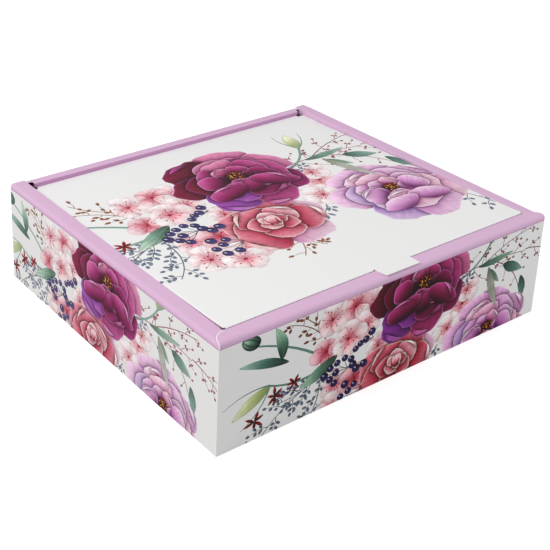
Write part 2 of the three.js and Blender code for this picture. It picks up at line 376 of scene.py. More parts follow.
    def sprig(self, start, end, bend, stem_paint, leaf_paint, twigs, reach, size, pairs):
        """A stem with side twigs that carry small leaves or buds."""
        chain = self.stem(start, end, bend, 1.1, 0.7, stem_paint, 2 * twigs + 1)
        self.group += 1
        length, width = size
        for i in range(1, twigs + 1):
            node, ahead = chain[2 * i - 1], chain[2 * i]
            side = 1 if i % 2 else -1
            turn = heading(ahead - node) + side * self.rng.uniform(30, 62)
            tip = node + unit(turn) * reach * self.rng.uniform(0.6, 1.1) * (1.2 - 0.5 * i / twigs)
            twig = self.stem(node, tip, 0.1 * side, 0.7, 0.5, stem_paint, 2 * pairs + 3)
            for k in range(2 * pairs + 1):
                lean = turn + (0 if k == 0 else (50 if k % 2 else -50)) + self.jitter(14)
                spot = twig[-1 - 2 * ((k + 1) // 2)] + unit(lean) * length * 0.7
                self.blob(spot, lean, length * (1 + self.jitter(0.2)), width, leaf_paint, point=0.2, steps=8)

    def berries(self, root, spots, radius):
        """Dark berries on thin stalks that branch from one point."""
        for spot in spots:
            self.stem(root, spot, self.jitter(0.12), 0.7, 0.45, STEM_DARK, 5)
        for spot in spots:
            self.group += 1
            size = radius * (1 + self.jitter(0.1))
            self.blob(spot, -60, 2.1 * size, 1.9 * size, BERRY, steps=14)
            shine = np.array(spot) + [-0.3 * size, 0.35 * size]
            self.blob(shine, -40, 0.66 * size, 0.4 * size, BERRY_SHINE, steps=7)

    def star(self, x, y, radius, turn):
        self.group += 1
        for i in range(6):
            angle = turn + 60 * i + self.jitter(12)
            reach = radius * self.rng.uniform(0.75, 1.1)
            self.blob(np.array([x, y]) + unit(angle) * reach * 0.5, angle, reach, 0.34 * radius, STAR_RED,
                      point=0.55, steps=10)

    def round_bud(self, x, y, radius, turn):
        self.group += 1
        centre = np.array([x, y], float)
        self.blob(centre, turn, 2.4 * radius, 1.8 * radius, LEAF_TEAL, taper=-0.15, steps=22)
        for shift in (-0.42, 0.42, 0.0):
            spot = centre + unit(turn + 90) * shift * radius
            self.blob(spot, turn - shift * 18, 2.2 * radius, 0.55 * radius, LEAF,
                      point=0.45, bend=-shift * 0.4, steps=16)

    def pale_bud(self, start, end, width):
        """A closed bud between two thin curling sepals."""
        start, end = np.array(start, float), np.array(end, float)
        across = np.array([start[1] - end[1], end[0] - start[0]])
        self.leaf(start, end, width, LIME, 0.05)
        for side in (1, -1):
            self.stem(start, end + across * 0.4 * side, 0.1 * side, 1.6, 0.5, STEM_GREEN, 9)


def bouquet():
    """The bouquet of every printed face, in the lid's millimetres from the box's middle. It runs on past
    the lid's sides, and the walls show a wider part of it."""
    painter = Painter(5)
    background(painter)
    blossoms(painter)
    large_flowers(painter)
    # Berries in front of the blossoms.
    painter.berries((-48, 14), ((-50, 21), (-56, 15), (-62, 13), (-67, 9)), 3.8)
    painter.berries((-74, -8), ((-99, -7), (-93, -1), (-86, 2), (-87, -8), (-93, -13), (-88, -19), (-78, 4),
                                (-71, 0), (-69, -7), (-65, -13), (-57, -11)), 4.1)
    painter.berries((-56, -38), ((-76, -26), (-66, -30), (-72, -35), (-80, -38), (-77, -47), (-67, -48)), 4.1)
    return painter.patches


def background(painter):
    """Twigs, sprigs and leaves behind the flowers."""
    brown, wine, slate = (STEM_BROWN, BROWN_BUD), (STEM_WINE, WINE_BUD), (STEM_DARK, SLATE)
    small, middling, large = (3.2, 2.6), (4.6, 2.8), (5.0, 3.2)
    for start, end, bend, paints, twigs, reach, size, pairs in (
        ((-100, 34), (-138, 64), -0.1, brown, 5, 13, large, 1),
        ((-96, 46), (-130, 80), 0.1, brown, 4, 12, large, 0),
        ((50, 42), (132, 40), 0.04, wine, 8, 22, small, 1),
        ((76, 42), (140, 66), 0.06, wine, 6, 18, small, 1),
        ((96, 40), (130, -4), 0.1, wine, 5, 14, small, 0),
        ((132, 42), (176, 20), 0.1, wine, 6, 15, small, 1),
        ((-98, 2), (-146, -14), 0.1, slate, 6, 20, large, 2),
        ((-104, -10), (-124, -58), 0.12, slate, 6, 18, large, 2),
        ((-108, -6), (-164, -46), -0.08, slate, 7, 20, large, 2),
        ((112, -50), (136, -98), 0.1, slate, 6, 17, large, 1),
        ((118, -54), (150, -66), 0.1, slate, 5, 15, large, 1),
        ((-22, -50), (-36, -80), 0.1, brown, 4, 13, middling, 0),
        ((-22, -54), (-12, -76), -0.1, brown, 3, 11, middling, 1),
    ):
        painter.sprig(start, end, bend, *paints, twigs, reach, size, pairs)
    painter.stem((-96, 10), (-168, 56), -0.06, 3.0, 1.8, STEM_GREEN)
    painter.round_bud(-174, 62, 8, 150)
    painter.leaf((-140, 32), (-148, 68), 11, LEAF, 0.35)
    painter.leaf((-136, 28), (-184, 42), 10, LEAF_TEAL, 0.12)
    painter.stem((-90, 8), (-156, 10), 0.12, 2.8, 2.0, STEM_GREEN)
    painter.pale_bud((-154, 10), (-190, -12), 13)
    painter.stem((40, 34), (84, 66), -0.12, 2.4, 2.0, STEM_GREEN)
    painter.pale_bud((84, 65), (92, 94), 13)
    painter.leaf((72, 42), (116, 45), 8, LEAF, 0.08)
    painter.leaf((104, 34), (130, 20), 12, LEAF_TEAL, 0.1)
    painter.leaf((84, 36), (100, 16), 8, LEAF, 0.1)
    painter.leaf((132, 12), (136, -18), 9, LEAF_TEAL, -0.2)
    for x, y, radius, turn in ((-130, 2, 9, 10), (-149, -4, 10, 40), (-168, -22, 10, 20), (-176, -46, 8, 20)):
        painter.star(x, y, radius, turn)


def blossoms(painter):
    """Blossoms on both sides of the large flowers, with a leaf and short sprigs between them."""
    for x, y, radius, turn, paint in (
        (56, 8, 19, 10, BLOSSOM), (40, -14, 18, 50, BLOSSOM_ROSY), (62, -16, 17, 80, BLOSSOM),
        (60, 22, 15, 30, BLOSSOM), (-94, 52, 19, 30, BLOSSOM), (-58, 52, 19, 5, BLOSSOM),
        (-70, 56, 16, 20, BLOSSOM_ROSY), (-98, 20, 17, 60, BLOSSOM_ROSY), (-56, 30, 18, 42, BLOSSOM),
        (-76, 24, 20, 15, BLOSSOM), (-88, -20, 17, 5, BLOSSOM), (-66, -24, 18, 60, BLOSSOM_ROSY),
        (-92, -48, 20, 25, BLOSSOM), (-58, -52, 19, 60, BLOSSOM), (-72, -60, 18, 15, BLOSSOM),
        (-42, 2, 15, 24, BLOSSOM), (-44, -18, 15, 50, BLOSSOM),
    ):
        painter.blossom(x, y, radius, turn, paint)
    painter.leaf((-86, 10), (-124, -10), 14, LEAF, -0.12)
    for x, y, turn in ((30, -28, 220), (56, -10, 250), (62, 26, 100)):
        start = np.array([x, y])
        painter.sprig(start, start + unit(turn) * 16, 0.1, STEM_DARK, SLATE, 3, 7, (6.0, 3.0), 1)


def large_flowers(painter):
    """The lilac peony, the rose and the magenta peony, and a pale leaf beside them."""
    def choose(*sectors):
        """A paint for each direction: (up to this turn, paints to pick from)."""
        def paint_for(turn):
            turn %= 360
            return painter.rng.choice(next(paints for limit, paints in sectors if turn <= limit))
        return paint_for

    lilacs = choose((160, [LILAC, LILAC_PINK]), (265, [LILAC_BLUE, LILAC_BLUE, LILAC]),
                    (360, [LILAC_PINK, LILAC]))
    magentas = choose((60, [MAGENTA, MAGENTA_PINK]), (128, [MAGENTA_PINK]), (200, [WINE]), (256, [VIOLET]),
                      (325, [MAGENTA_DEEP, MAGENTA]), (360, [MAGENTA]))
    inner_magentas = choose((70, [MAGENTA]), (150, [MAGENTA_PINK, MAGENTA]), (210, [MAGENTA_DEEP, MAGENTA]),
                            (330, [MAGENTA, MAGENTA_PINK, MAGENTA]), (360, [MAGENTA_DEEP]))
    painter.peony(92, -34, 47, lilacs, choose((360, [LILAC, LILAC_PINK, LILAC])), 2)
    painter.rose(-18, -30, 39, ROSE, ROSE_PALE, ROSE_LILAC, 7)
    painter.peony(6, 52, 50, magentas, inner_magentas, 11)
    painter.leaf((84, 38), (99, -12), 9, LEAF_PALE, 0.1)


# ---------------------------------------------------------------- sheets

BOARD = 0.5  # paperboard thickness, millimetres
FINE, COARSE = 2.2, 9.0  # spacing of the lattice in petals and elsewhere
HAIR = 2e-3  # a point this close to a crease lies on it
SNAP = 5e-4  # points this close are one
BROAD = 7.0  # longer patches get the fine lattice
CASTING = 8.0  # longer patches shade each other
SHADOW_REACH = 4.0  # up to this distance apart
PRINTED, CUT_EDGE, PLAIN = 0, 1, 2  # material slots of a sheet


class Print:
    """Where the bouquet lies on a sheet. The large flower's heart goes to the spot.

    A strength above one deepens its colours and one below pales them. This is painted shade and painted
    sheen: the same print looks darker on the front and back walls and paler on the side walls than on the
    lid.
    """

    heart = np.array([6.0, 53.0])

    def __init__(self, spot, scale, strength=1.0):
        self.spot, self.scale = np.array(spot, float), np.array(scale, float)
        self.strength = strength

    def to_sheet(self, points):
        return self.spot + (points - self.heart) * self.scale

    def to_art(self, points):
        return self.heart + (points - self.spot) / self.scale


def divide(start, end, spacing):
    """Points from a start up to, but not at, an end."""
    start, end = np.array(start, float), np.array(end, float)
    count = max(1, math.ceil(math.hypot(*(end - start)) / spacing))
    return [start + (end - start) * i / count for i in range(count)]


def lattice(low, high, spacing):
    rows = []
    for k, y in enumerate(np.arange(low[1] + spacing / 2, high[1], spacing * 0.87)):
        x = np.arange(low[0] + spacing * (0.5 if k % 2 else 0.25), high[0], spacing)
        rows.append(stack(x, np.full(len(x), y)))
    return np.concatenate(rows) if rows else np.zeros((0, 2))


class Plan:
    """Points and fixed edges of a flat sheet, and their triangulation."""

    def __init__(self):
        self.points, self.edges = [], []

    def add(self, points):
        first = len(self.points)
        self.points += np.asarray(points, float).reshape(-1, 2).tolist()
        return first

    def chain(self, points, closed=False):
        first = self.add(points)
        last = len(self.points) - 1
        self.edges += [(k, k + 1) for k in range(first, last)]
        if closed:
            self.edges.append((last, first))

    def triangles(self, border):
        """The sheet inside the outline, whose edges are the first ones laid, as many as the border says.

        Returns its points, its triangles and the numbers under which each point was laid.
        """
        points = [Vector(point) for point in self.points]
        verts, edges, faces, origins, sources, _ = delaunay_2d_cdt(points, self.edges, [], 0, SNAP, True)
        verts = np.array([tuple(vert) for vert in verts])
        faces = np.array([tuple(face) for face in faces])
        a, b, c = (verts[faces[:, k]] for k in range(3))
        area = (b - a)[:, 0] * (c - a)[:, 1] - (b - a)[:, 1] * (c - a)[:, 0]
        faces[area < 0] = faces[area < 0][:, ::-1]
        walls = {tuple(sorted(edge)) for edge, laid in zip(edges, sources) if any(k < border for k in laid)}
        sheet = max(regions(faces.tolist(), walls), key=lambda region: np.abs(area[region]).sum())
        faces = faces[sheet]
        used = np.unique(faces)
        return verts[used], np.searchsorted(used, faces), [origins[k] for k in used]


def sides(face):
    return zip(face, face[1:] + face[:1])


def regions(faces, walls):
    """Groups of triangles that no wall edge parts."""
    beside = {}
    for number, face in enumerate(faces):
        for edge in sides(face):
            beside.setdefault(tuple(sorted(edge)), []).append(number)
    neighbours = [[] for _ in faces]
    for edge, numbers in beside.items():
        if edge not in walls:
            for number in numbers:
                neighbours[number] += numbers
    left, found = set(range(len(faces))), []
    while left:
        region = [left.pop()]
        for number in region:
            fresh = left.intersection(neighbours[number])
            left -= fresh
            region += fresh
        found.append(sorted(region))
    return found


def rim_edges(faces):
    """Directed edges that belong to a single triangle."""
    known = {edge for face in faces.tolist() for edge in sides(face)}
    return sorted(edge for edge in known if edge[::-1] not in known)


def covered(outline, points):
    """The numbers of the points that lie inside a closed outline."""
    (x0, y0), (x1, y1) = outline.min(0), outline.max(0)
    x, y = points.T
    near = np.flatnonzero((x > x0) & (x < x1) & (y > y0) & (y < y1))
    return near[inside(outline, points[near])]


def printed_corners(verts, faces, shown, art, ground):
    """Ink, rim, shadow and brush values of all triangle corners."""
    centres = verts[faces].mean(1)
    colours, printable = ground(centres)
    top = np.full(len(faces), -1)
    for number, patch in enumerate(shown):
        top[covered(art.to_sheet(patch.outline), centres)] = number
    top[~printable] = -1
    corners = [np.zeros((len(faces), 3, 4)) for _ in LAYERS]
    corners[0][:, :, :3] = colours[:, None]
    corners[3][:, :, :2] = FAR
    for number, patch in enumerate(shown):
        mine = np.flatnonzero(top == number)
        if not len(mine):
            continue
        above = [
            other for other in shown[number + 1:]
            if min(other.length, patch.length) > CASTING
            and (other.low < patch.high + SHADOW_REACH).all()
            and (other.high > patch.low - SHADOW_REACH).all()
        ]
        values = ink(patch, above, art.to_art(verts[faces[mine]].reshape(-1, 2)))
        for store, value in zip(corners, values):
            store[mine] = value.reshape(-1, 3, 4)
        # Painted light: the print's strength deepens or pales the ink for the shade or sheen on this face.
        for store in corners[:3]:
            store[mine, :, :3] **= art.strength
    return corners


def front_sheet(outline, creases, patches, art, strips):
    """The printed sheet's points and triangles, and the patches that show on it."""
    low, high = outline.min(0), outline.max(0)
    loop = np.concatenate([divide(a, b, COARSE) for a, b in zip(outline, np.roll(outline, -1, axis=0))])
    plan = Plan()
    plan.chain(loop, closed=True)
    for start, end in creases:
        plan.chain(divide(start, end, COARSE) + [np.array(end, float)])
    for strip, _ in strips:
        plan.chain(strip, closed=True)
    fine = lattice(low, high, FINE)
    wanted = np.zeros(len(fine), bool)
    shown = []
    for patch in patches:
        edge = art.to_sheet(patch.outline)
        if (edge.max(0) < low).any() or (edge.min(0) > high).any():
            continue
        shown.append(patch)
        plan.chain(edge, closed=True)
        if patch.length > BROAD:
            wanted[covered(edge, fine)] = True
    plan.add(fine[wanted])
    plan.add(lattice(low, high, COARSE))
    verts, faces, _ = plan.triangles(len(loop))
    return verts, faces, shown


def crease_back(plan, ring, outline, start, end):
    """Lays a crease on the back, through those points of the rim that lie on it."""
    start, end = np.array(start, float), np.array(end, float)
    length = math.hypot(*(end - start))
    way = (end - start) / length
    travel, off = (ring - start) @ way, (ring - start) @ np.array([-way[1], way[0]])
    on_line = (np.abs(off) < HAIR) & (travel > -HAIR) & (travel < length + HAIR)
    stops = [(float(travel[k]), int(k)) for k in np.flatnonzero(on_line)]
    inner = np.array(divide(start, end, COARSE)[1:]).reshape(-1, 2)
    for point in inner[inside(outline, inner)]:
        reach = float((point - start) @ way)
        if all(abs(reach - other) > 1 for other, _ in stops):
            stops.append((reach, plan.add(point)))
    stops.sort()
    for (one, a), (two, b) in zip(stops, stops[1:]):
        middle = start + way * (one + two) / 2
        if inside(outline, middle[None])[0]:
            plan.edges.append((a, b))


def back_sheet(outline, creases, verts, rim):
    """A coarse sheet with the printed sheet's rim.

    Returns its points, its triangles, and where it keeps each of the printed sheet's rim points.
    """
    ring = sorted({vertex for edge in rim for vertex in edge})
    number_of = {vertex: k for k, vertex in enumerate(ring)}
    plan = Plan()
    plan.add(verts[ring])
    plan.edges += [(number_of[a], number_of[b]) for a, b in rim]
    for start, end in creases:
        crease_back(plan, verts[ring], outline, start, end)
    spread = lattice(outline.min(0), outline.max(0), COARSE)
    plan.add(spread[inside(outline, spread)])
    back_verts, back_faces, origins = plan.triangles(len(rim))
    kept = {source: k for k, sources in enumerate(origins) for source in sources}
    return back_verts, back_faces, {vertex: kept[k] for vertex, k in number_of.items()}


def board_piece(name, outline, creases, folded, ground, patches=(), art=None, strips=()):
    """A paperboard sheet with a printed face, a plain back and cut edges all round."""
    outline = np.array(outline, float)
    verts, faces, shown = front_sheet(outline, creases, patches, art, strips)
    corners = printed_corners(verts, faces, shown, art, ground)
    rim = rim_edges(faces)
    back_verts, back_faces, under = back_sheet(outline, creases, verts, rim)
    first = len(verts)
    polygons = faces.tolist() + (first + back_faces[:, ::-1]).tolist()
    polygons += [(a, first + under[a], first + under[b], b) for a, b in rim]
    places = np.concatenate([
        folded(verts, np.zeros(len(verts))),
        folded(back_verts, np.full(len(back_verts), BOARD)),
    ])
    mesh = bpy.data.meshes.new(name)
    mesh.from_pydata((places * MM).tolist(), [], polygons)
    for layer, values in zip(LAYERS, corners):
        loops = np.zeros((len(mesh.loops), 4), np.float32)
        loops[:, :3] = PAPER
        loops[:len(faces) * 3] = values.reshape(-1, 4)
        mesh.color_attributes.new(layer, 'FLOAT_COLOR', 'CORNER').data.foreach_set('color', loops.ravel())
    kinds = [PRINTED] * len(faces) + [PLAIN] * len(back_faces) + [CUT_EDGE] * len(rim)
    mesh.polygons.foreach_set('material_index', kinds)
    mesh.polygons.foreach_set('use_smooth', [True] * len(kinds))
    mesh.set_sharp_from_angle(angle=math.radians(40))
    mesh.validate()
    piece = bpy.data.objects.new(name, mesh)
    bpy.context.scene.collection.objects.link(piece)
    return piece


class Fold:
    """A strip that runs up from the floor and bends inward: straight lengths and (radius, degrees) bends."""

    steps = 6  # rows across each bend

    def __init__(self, *parts):
        self.parts, self.rows = [], []
        t, spot, turned = 0.0, np.zeros(2), 0.0
        for part in parts:
            radius, turn = (part[0], math.radians(part[1])) if isinstance(part, tuple) else (0.0, 0.0)
            length = radius * turn if radius else part
            self.parts.append((t, spot, turned, radius))
            if radius:
                self.rows += [t + length * i / self.steps for i in range(self.steps + 1)]
            spot = self._at(self.parts[-1], np.array([t + length]), np.zeros(1))[0]
            turned += turn
            t += length
        self.end = t

    @property
    def ledge(self):
        """Where the rim's flat top ends, at its inner fold."""
        return self.parts[3][0]

    @staticmethod
    def _at(part, t, depth):
        start, spot, turned, radius = part
        right = np.array([math.cos(turned), -math.sin(turned)])
        if not radius:
            way = np.array([math.sin(turned), math.cos(turned)])
            return spot + (t - start)[:, None] * way + depth[:, None] * right
        angle = turned + (t - start) / radius
        return spot + radius * right - (radius - depth)[:, None] * stack(np.cos(angle), -np.sin(angle))

    def at(self, t, depth, last=None):
        """Distance in from the wall's face and height of points along the strip."""
        out = np.zeros((len(t), 2))
        for part in self.parts[:last]:
            mine = t >= part[0] - 1e-9
            out[mine] = self._at(part, t[mine], depth[mine])
        return out

    def face(self, t):
        """The same for one point of the printed face, with the rim's inner edge left flat."""
        return self.at(np.array([t]), np.zeros(1), last=3)[0]


# ---------------------------------------------------------------- the box's boards

WIDTH, DEPTH = 300.0, 265.0
HALF_X, HALF_Y = WIDTH / 2, DEPTH / 2
RIM_TOP, SIDE_TOP, BACK_TOP = 82.0, 81.4, 80.8
ROLL = 3.0  # outer radius of the rolled edge
CREASE = 0.7  # outer radius of a sharp fold
BAND = 77.2  # the lilac print starts at this height
BAND_EDGE = 0.6  # width of its darker edge
FLOOR = 0.55  # where the inner walls end
CUT = 0.5  # width of the cut that frees the rim's end from the inner wall
FRONT_RIM, SIDE_RIM, BACK_RIM = 11.0, 12.0, 9.0
INNER_X = HALF_X - SIDE_RIM
INNER_FRONT, INNER_BACK = -HALF_Y + FRONT_RIM, HALF_Y - BACK_RIM


def mirrored(half):
    """A closed outline from its right half, which runs from the bottom to the top."""
    return half + [(-x, y) for x, y in reversed(half)]


def wall_ground(strips):
    """The unpainted face of a wall sheet: white paper, and the lilac print over the rim with other strips."""
    def ground(centres):
        height = centres[:, 1]
        colours = np.broadcast_to(PAPER, (len(centres), 3)).copy()
        colours[height > BAND] = LILAC_EDGE
        colours[height > BAND + BAND_EDGE] = LILAC_PRINT
        for strip, colour in strips:
            colours[inside(strip, centres)] = colour
        return colours, height < BAND
    return ground


def white_ground(centres):
    return np.broadcast_to(PAPER, (len(centres), 3)), np.ones(len(centres), bool)


def wall_fold(top, rim, inner_wall=True):
    parts = [top - ROLL, (ROLL, 90), rim - ROLL - CREASE, (CREASE, 90)]
    return Fold(*parts, top - CREASE - FLOOR) if inner_wall else Fold(*parts)


def wall_piece(name, fold, outline, to_world, patches, art, flat_end, strips=()):
    """A wall sheet. Beyond its flat ends the rim's inner edge stays unfolded."""
    def folded(points, depth):
        s, t = points.T
        section = fold.at(t, depth)
        ends = np.abs(s) > flat_end
        section[ends] = fold.at(t[ends], depth[ends], last=3)
        return to_world(s, section[:, 0], section[:, 1])

    reach = HALF_X + 1
    creases = [((-reach, t), (reach, t)) for t in (BAND, BAND + BAND_EDGE, *fold.rows)]
    return board_piece(name, outline, creases, folded, wall_ground(strips), patches, art, strips)


def inner_wall_end(fold, reach):
    """Outline points from the rim's inner fold down the end of the inner wall, with the cut between them."""
    cut = reach + CUT
    return [(cut, fold.ledge + CREASE), (cut, fold.ledge), (reach, fold.ledge), (reach, fold.end)]


def inside_roll(height, top):
    """How far past a roll's middle a board may reach at some height, to stay inside the roll."""
    clear = ROLL - 0.6
    return math.sqrt(clear ** 2 - np.clip(height - (top - ROLL), 0, clear) ** 2)


def front_board(patches):
    fold = wall_fold(RIM_TOP, FRONT_RIM)
    curve_in, wall_end = 12.0, INNER_X - 0.6
    end = []
    for t in np.linspace(BAND, fold.ledge + CREASE, 16):
        reach = min(fold.face(t)[0] / FRONT_RIM, 1)
        end.append((HALF_X - curve_in + curve_in * math.sqrt(1 - reach ** 2), t))
    outline = mirrored([(HALF_X, 0), *end, *inner_wall_end(fold, wall_end)])
    edge = np.array(end)
    step = np.gradient(edge, axis=0)
    outward = stack(step[:, 1], -step[:, 0]) / np.hypot(*step.T)[:, None]
    strip = np.concatenate([edge - 0.5 * outward, (edge + outward)[::-1]]) * [-1, 1]

    def to_world(s, u, v):
        """The rim's left end stands a little proud of the side rim."""
        loose = smooth(HALF_X - 16, HALF_X - 2, -s) * smooth(BAND, BAND + 3, v)
        return stack(s, u - HALF_Y - 0.3 * loose, v + 0.4 * loose)

    # Deepened print: painted shade, as the front wall catches less sheen than the lid.
    art = Print((26, 67), (0.84, 0.71), 1.4)
    # A near-white strip about half a millimetre wide along the rim's curved left end.
    strips = [(strip, WHITE_END_STRIP)]
    return wall_piece('front_board', fold, outline, to_world, patches, art, wall_end + CUT / 2, strips)


def side_board(name, side, patches):
    """A side wall sheet. Its rim starts under the front rim and covers the end of the back rim."""
    fold = wall_fold(SIDE_TOP, SIDE_RIM)
    corner, wall_end = 1.0, HALF_Y - 5.1
    front = [(HALF_Y - BOARD, 0), (HALF_Y - BOARD, BAND)]
    back = list(front)
    for t in np.linspace(BAND, fold.ledge, 18):
        u, v = fold.face(t)
        front.append((HALF_Y - ROLL + inside_roll(v, RIM_TOP), t))
        back.append((HALF_Y - corner + math.sqrt(corner ** 2 - max(corner - u, 0) ** 2), t))
    for half in (front, back):
        half += [(half[-1][0], fold.ledge + CREASE), *inner_wall_end(fold, wall_end)]
    # Seen from outside, the front is on the right of the left wall and on the left of the right wall.
    right, left = (front, back) if side < 0 else (back, front)
    outline = right + [(-x, t) for x, t in reversed(left)]

    def to_world(s, u, v):
        """The rim's back end bends down over the back rim's roll."""
        y = side * s
        over = np.clip((y - HALF_Y + ROLL) / ROLL, 0, 1) * (v > RIM_TOP - 2 * ROLL)
        return stack(side * (HALF_X - u), y, v - 0.5 * over ** 2)

    # Paled print: painted sheen from the key light on the side walls.
    art = Print((7.5, 64), (0.78, 0.69), 0.85)
    return wall_piece(name, fold, outline, to_world, patches, art, wall_end + CUT / 2)


def back_board(patches):
    fold = wall_fold(BACK_TOP, BACK_RIM, inner_wall=False)
    riser_end, notch = INNER_X - 4.5, 4.0
    half = [(HALF_X, 0), (HALF_X, BAND)]
    rim_start = fold.parts[2][0]
    for t in np.linspace(BAND, rim_start, 10):
        half.append((HALF_X - ROLL + inside_roll(fold.face(t)[1], SIDE_TOP), t))
    notch_t = fold.ledge + CREASE - notch
    half += [(half[-1][0], notch_t), (riser_end, notch_t), (riser_end, fold.end)]

    def to_world(s, u, v):
        return stack(-s, HALF_Y - u, v)

    # Deepened print: painted shade, as on the front wall.
    art = Print((20, 66), (0.84, 0.71), 1.4)
    return wall_piece('back_board', fold, mirrored(half), to_world, patches, art, HALF_X + 1)


# ---------------------------------------------------------------- the lid

LID_DROP = 5.0  # from the front rim's top down to the lid's crease at the riser
LID_RUN = INNER_BACK - INNER_FRONT - 0.5
LID_RISE = LID_DROP + 0.05 + BOARD
LID_SLOPE = math.atan2(LID_RISE, LID_RUN)
LID_LENGTH = math.hypot(LID_RUN, LID_RISE)
LID_HALF = INNER_X - 0.35
HINGE_Z = RIM_TOP - LID_DROP
TAB_MIDDLE, TAB_ROOT = 4.5, 32.5
LID_EDGE = 0.8  # outer radius of the lid's folded edges


def on_lid(x, y, z):
    """World places of points given along, down and off the lid from the middle of its crease."""
    cos, sin = math.cos(LID_SLOPE), math.sin(LID_SLOPE)
    return stack(x, INNER_BACK + cos * y + sin * z, HINGE_Z - sin * y + cos * z)


def lid_board(patches):
    """The lid's panel. Its edges turn down to the flaps at the front and sides, but not at the thumb tab."""
    reach = LID_LENGTH + 0.2
    flat_x, flat_y = LID_HALF - LID_EDGE, LID_EDGE - reach
    turned = LID_EDGE * math.pi / 2
    wide, front = flat_x + turned, flat_y - turned
    side_front, side_back = 1.0 - reach, -16.0
    tab_left, tab_right = TAB_MIDDLE - TAB_ROOT / 2, TAB_MIDDLE + TAB_ROOT / 2
    front_end, slit, tab_edge = LID_HALF - 1.0, 0.8, 0.45 - LID_LENGTH

    def folded(points, depth):
        x, y = points.T.copy()
        z = -depth
        past_side, past_front = np.abs(x) - flat_x, flat_y - y
        at_side = (past_side > 0) & (y > side_front) & (y < side_back)
        at_front = (past_front > 0) & (np.abs(x) < front_end)
        at_front &= (x < tab_left - slit / 2) | (x > tab_right + slit / 2)

        def turn_down(past, bend):
            """Lowers the points on a bend, and returns how far out they still reach."""
            angle, arm = past[bend] / LID_EDGE, LID_EDGE - depth[bend]
            z[bend] = arm * np.cos(angle) - LID_EDGE
            return arm * np.sin(angle)

        x[at_side] = np.sign(x[at_side]) * (flat_x + turn_down(past_side, at_side))
        y[at_front] = flat_y - turn_down(past_front, at_front)
        return on_lid(x, y, z)

    corner = relief = 0.3
    notch_x, notch_y = 6.0, 3.0
    right = [
        (front_end, front), (front_end, flat_y), (front_end + 0.2, flat_y), (front_end + 0.2, -reach),
        (LID_HALF - corner, -reach), (LID_HALF, corner - reach), (LID_HALF, side_front - relief),
        (flat_x, side_front - relief), (flat_x, side_front), (wide, side_front), (wide, side_back),
        (flat_x, side_back), (flat_x, side_back + relief), (LID_HALF, side_back + relief),
        (LID_HALF, -notch_y), (LID_HALF - notch_x, -notch_y), (LID_HALF - notch_x, -0.1),
    ]
    tab = [
        (tab_left - slit, front), (tab_left - slit, flat_y), (tab_left, flat_y), (tab_left, tab_edge),
        (tab_right, tab_edge), (tab_right, flat_y), (tab_right + slit, flat_y), (tab_right + slit, front),
    ]
    creases = []
    for offset in np.linspace(0, turned, 5):
        y = flat_y - offset
        for x in (flat_x + offset, -flat_x - offset):
            creases.append(((x, side_front), (x, side_back)))
        creases.append(((-front_end, y), (tab_left - slit, y)))
        creases.append(((tab_right + slit, y), (front_end, y)))
    art = Print((6, 53 - INNER_BACK), (1, 1))
    return board_piece('lid_board', tab + mirrored(right), creases, folded, white_ground, patches, art)


def thumb_tab():
    """The tab on the lid's front edge. It lifts a little towards its tip."""
    root, tip = 0.37 - LID_LENGTH, -10.8 - LID_LENGTH
    half_tip, corner, lift = 15.5, 0.6, 0.5
    half = [(half_tip - corner * (1 - math.cos(a)), tip + corner * (1 - math.sin(a)))
            for a in np.linspace(math.pi / 2, 0, 5)]
    half.append((TAB_ROOT / 2, root))
    outline = [(TAB_MIDDLE + x, y) for x, y in mirrored(half)]
    creases = [((TAB_MIDDLE - 20, y), (TAB_MIDDLE + 20, y)) for y in np.linspace(root, tip, 7)[1:-1]]

    def folded(points, depth):
        x, y = points.T
        return on_lid(x, y, lift * ((root - y) / (root - tip)) ** 2 - depth)

    return board_piece('thumb_tab_board', outline, creases, folded, white_ground)


# ---------------------------------------------------------------- materials

def node(tree, kind, inputs=None, **settings):
    made = tree.nodes.new(kind)
    for key, value in settings.items():
        setattr(made, key, value)
    for key, value in (inputs or {}).items():
        if isinstance(value, bpy.types.NodeSocket):
            tree.links.new(value, made.inputs[key])
        else:
            made.inputs[key].default_value = value
    return made


def calc(tree, operation, *values):
    return node(tree, 'ShaderNodeMath', dict(enumerate(values)), operation=operation).outputs[0]


def mix(tree, factor, one, two, blend='MIX'):
    made = node(tree, 'ShaderNodeMix', {0: factor, 6: one, 7: two}, data_type='RGBA', blend_type=blend)
    return made.outputs[2]


def times(tree, colour, tone):
    """A colour made lighter or darker."""
    grey = node(tree, 'ShaderNodeCombineColor', {0: tone, 1: tone, 2: tone}).outputs[0]
    return mix(tree, 1.0, colour, grey, 'MULTIPLY')


def noise(tree, vector, scale, detail):
    inputs = {'Vector': vector, 'Scale': scale, 'Detail': detail}
    return node(tree, 'ShaderNodeTexNoise', inputs).outputs['Fac']


def new_material(name):
    """A material with its node tree and its shader."""
    material = bpy.data.materials.new(name)
    material.use_nodes = True
    return material, material.node_tree, material.node_tree.nodes['Principled BSDF']


def paper_material(name, colour, roughness, grain, coat=0.0, above=None):
    """Paperboard of one colour with a fibrous surface. It may have another colour above some height."""
    material, tree, shader = new_material(name)
    place = node(tree, 'ShaderNodeTexCoord').outputs['Object']
    fibre = noise(tree, place, 2600, 4)
    base = (*colour, 1)
    if above:
        height = node(tree, 'ShaderNodeSeparateXYZ', {0: place}).outputs[2]
        base = mix(tree, calc(tree, 'GREATER_THAN', height, above[0]), base, (*above[1], 1))
    base = times(tree, base, calc(tree, 'MULTIPLY_ADD', noise(tree, place, 60, 3), 2 * grain, 1 - grain))
    tree.links.new(base, shader.inputs['Base Color'])
    tree.links.new(calc(tree, 'MULTIPLY_ADD', fibre, 0.12, roughness - 0.06), shader.inputs['Roughness'])
    bump = node(tree, 'ShaderNodeBump', {'Height': fibre, 'Strength': 0.25, 'Distance': 0.00004})
    tree.links.new(bump.outputs[0], shader.inputs['Normal'])
    shader.inputs['Specular IOR Level'].default_value = 0.2
    shader.inputs['Coat Weight'].default_value = coat
    shader.inputs['Coat Roughness'].default_value = 0.35
    return material


